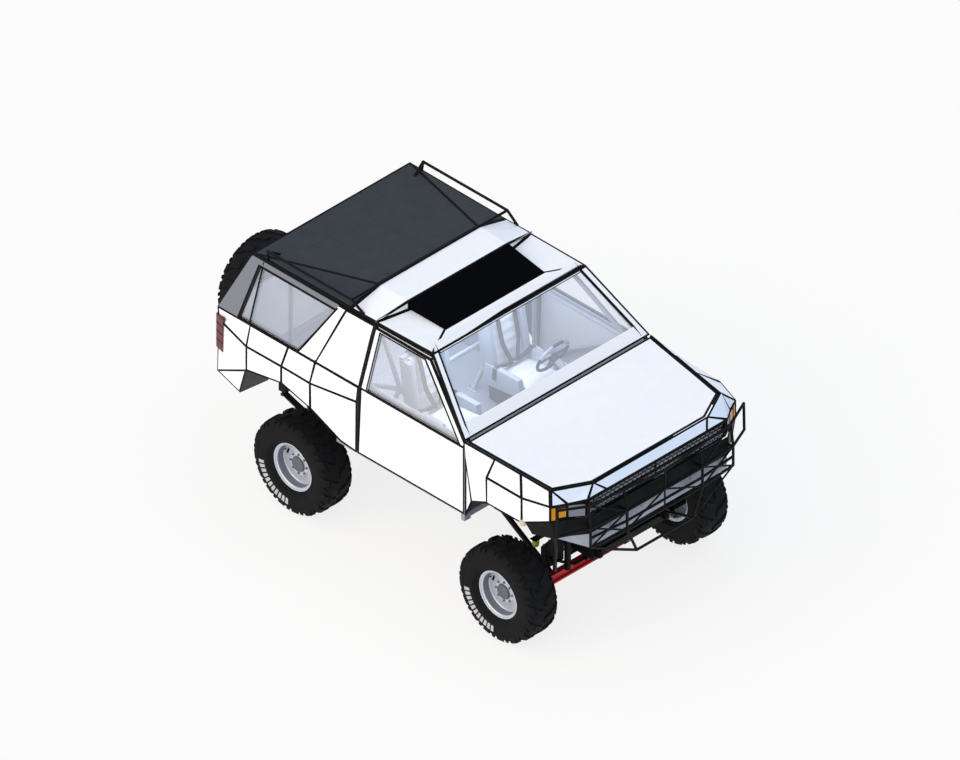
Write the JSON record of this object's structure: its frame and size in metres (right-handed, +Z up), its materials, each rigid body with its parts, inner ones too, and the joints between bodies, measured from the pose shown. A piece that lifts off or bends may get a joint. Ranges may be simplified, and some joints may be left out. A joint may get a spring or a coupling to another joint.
{
  "type": "lifted off-road 4x4",
  "caption": "Lifted two-door off-road 4x4: wide faceted body on a rail frame, tube bumper, roll cage, spare wheel on the tail door; it rolls, steers and its doors and hood open.",
  "frame": {"origin": "on the ground below the middle of the overall length and width", "axes": "+X forward, +Y to the vehicle's left, +Z up"},
  "size_m": [4.85, 2.532, 2.5409],
  "materials": {
    "body_white": "satin",
    "black_steel": "satin powder coat",
    "chassis_grey": "satin",
    "beam_red": "gloss",
    "cage_grey": "satin",
    "tyre_rubber": "matt",
    "rim_silver": "satin cast",
    "window_glass": "clear",
    "tinted_glass": "tinted",
    "roof_vinyl": "grained",
    "lamp_clear": "clear lens",
    "lamp_orange": "clear lens",
    "lamp_red": "clear lens",
    "skid_alloy": "brushed",
    "engine_iron": "as cast",
    "seat_fabric": "woven",
    "dash_plastic": "grained",
    "spring_steel": "satin",
    "shock_steel": "plated"
  },
  "bodies": {
    "chassis": {"frame_rails": "black_steel", "floor_tub": "chassis_grey", "roll_cage": "cage_grey", "engine_block": "engine_iron", "gearbox": "engine_iron", "skid_plate": "skid_alloy", "front_bumper": "black_steel", "front_axle_beams": "beam_red", "radius_arms": "black_steel", "front_shocks": "shock_steel", "rear_axle": "black_steel", "leaf_springs": "spring_steel", "rear_shocks": "shock_steel", "drive_shaft": "black_steel", "windscreen_frame": "body_white", "windscreen_glass": "window_glass", "front_roof": "body_white", "roof_scoop": "black_steel", "rear_roof": "roof_vinyl", "roof_rails": "black_steel", "quarter_panel_left": "body_white", "quarter_panel_right": "body_white", "corner_windows": "tinted_glass", "quarter_windows": "tinted_glass", "front_fender_left": "body_white", "front_fender_right": "body_white", "nose_panel": "body_white", "grille": "black_steel", "headlamps": "lamp_clear", "corner_lamps": "lamp_orange", "tail_lamps": "lamp_red", "dashboard": "dash_plastic", "seats": "seat_fabric"},
    "right_knuckle": {"knuckle_right": "black_steel"},
    "left_knuckle": {"knuckle_left": "black_steel"},
    "right_door": {"door_right": "body_white", "door_glass_right": "window_glass"},
    "left_door": {"door_left": "body_white", "door_glass_left": "window_glass"},
    "hood_lid": {"hood": "body_white"},
    "rear_door": {"tail_door": "body_white", "tail_glass": "tinted_glass", "spare_tyre": "tyre_rubber", "spare_rim": "rim_silver"},
    "driver_wheel": {"steering_wheel": "black_steel"},
    "front_right_wheel": {"tyre_front_right": "tyre_rubber", "rim_front_right": "rim_silver"},
    "front_left_wheel": {"tyre_front_left": "tyre_rubber", "rim_front_left": "rim_silver"},
    "rear_right_wheel": {"tyre_rear_right": "tyre_rubber", "rim_rear_right": "rim_silver"},
    "rear_left_wheel": {"tyre_rear_left": "tyre_rubber", "rim_rear_left": "rim_silver"}
  },
  "joints": [
    {"name": "steer_left", "type": "hinge", "parent": "chassis", "child": "left_knuckle", "pos_m": [1.523, 0.84, 0.4765], "axis": [0, 0, 1], "range_deg": [-30, 30]},
    {"name": "steer_right", "type": "hinge", "parent": "chassis", "child": "right_knuckle", "pos_m": [1.523, -0.84, 0.4765], "axis": [0, 0, 1], "range_deg": [-30, 30]},
    {"name": "spin_front_right", "type": "hinge", "parent": "right_knuckle", "child": "front_right_wheel", "pos_m": [1.523, -1.065, 0.4765], "axis": [0, 1, 0], "continuous": true},
    {"name": "spin_front_left", "type": "hinge", "parent": "left_knuckle", "child": "front_left_wheel", "pos_m": [1.523, 1.065, 0.4765], "axis": [0, 1, 0], "continuous": true},
    {"name": "spin_rear_right", "type": "hinge", "parent": "chassis", "child": "rear_right_wheel", "pos_m": [-1.137, -0.968, 0.4765], "axis": [0, 1, 0], "continuous": true},
    {"name": "spin_rear_left", "type": "hinge", "parent": "chassis", "child": "rear_left_wheel", "pos_m": [-1.137, 0.968, 0.4765], "axis": [0, 1, 0], "continuous": true},
    {"name": "open_left_door", "type": "hinge", "parent": "chassis", "child": "left_door", "pos_m": [1.045, 1.14, 1.098], "axis": [0, 0, -1], "range_deg": [0, 65]},
    {"name": "open_right_door", "type": "hinge", "parent": "chassis", "child": "right_door", "pos_m": [1.045, -1.14, 1.098], "axis": [0, 0, 1], "range_deg": [0, 65]},
    {"name": "open_hood", "type": "hinge", "parent": "chassis", "child": "hood_lid", "pos_m": [1.105, 0, 1.862], "axis": [0, -1, 0], "range_deg": [0, 50]},
    {"name": "open_rear_door", "type": "hinge", "parent": "chassis", "child": "rear_door", "pos_m": [-2.009, -1.065, 1.124], "axis": [0, 0, 1], "range_deg": [0, 95]},
    {"name": "turn_steering_wheel", "type": "hinge", "parent": "chassis", "child": "driver_wheel", "pos_m": [0.593, 0.48, 1.702], "axis": [-0.9231, 0, 0.3846], "range_deg": [-450, 450]}
  ],
  "couplings": [
    {"joint": "steer_right", "follows": "steer_left", "ratio": 1},
    {"joint": "turn_steering_wheel", "follows": "steer_left", "ratio": 15}
  ]
}
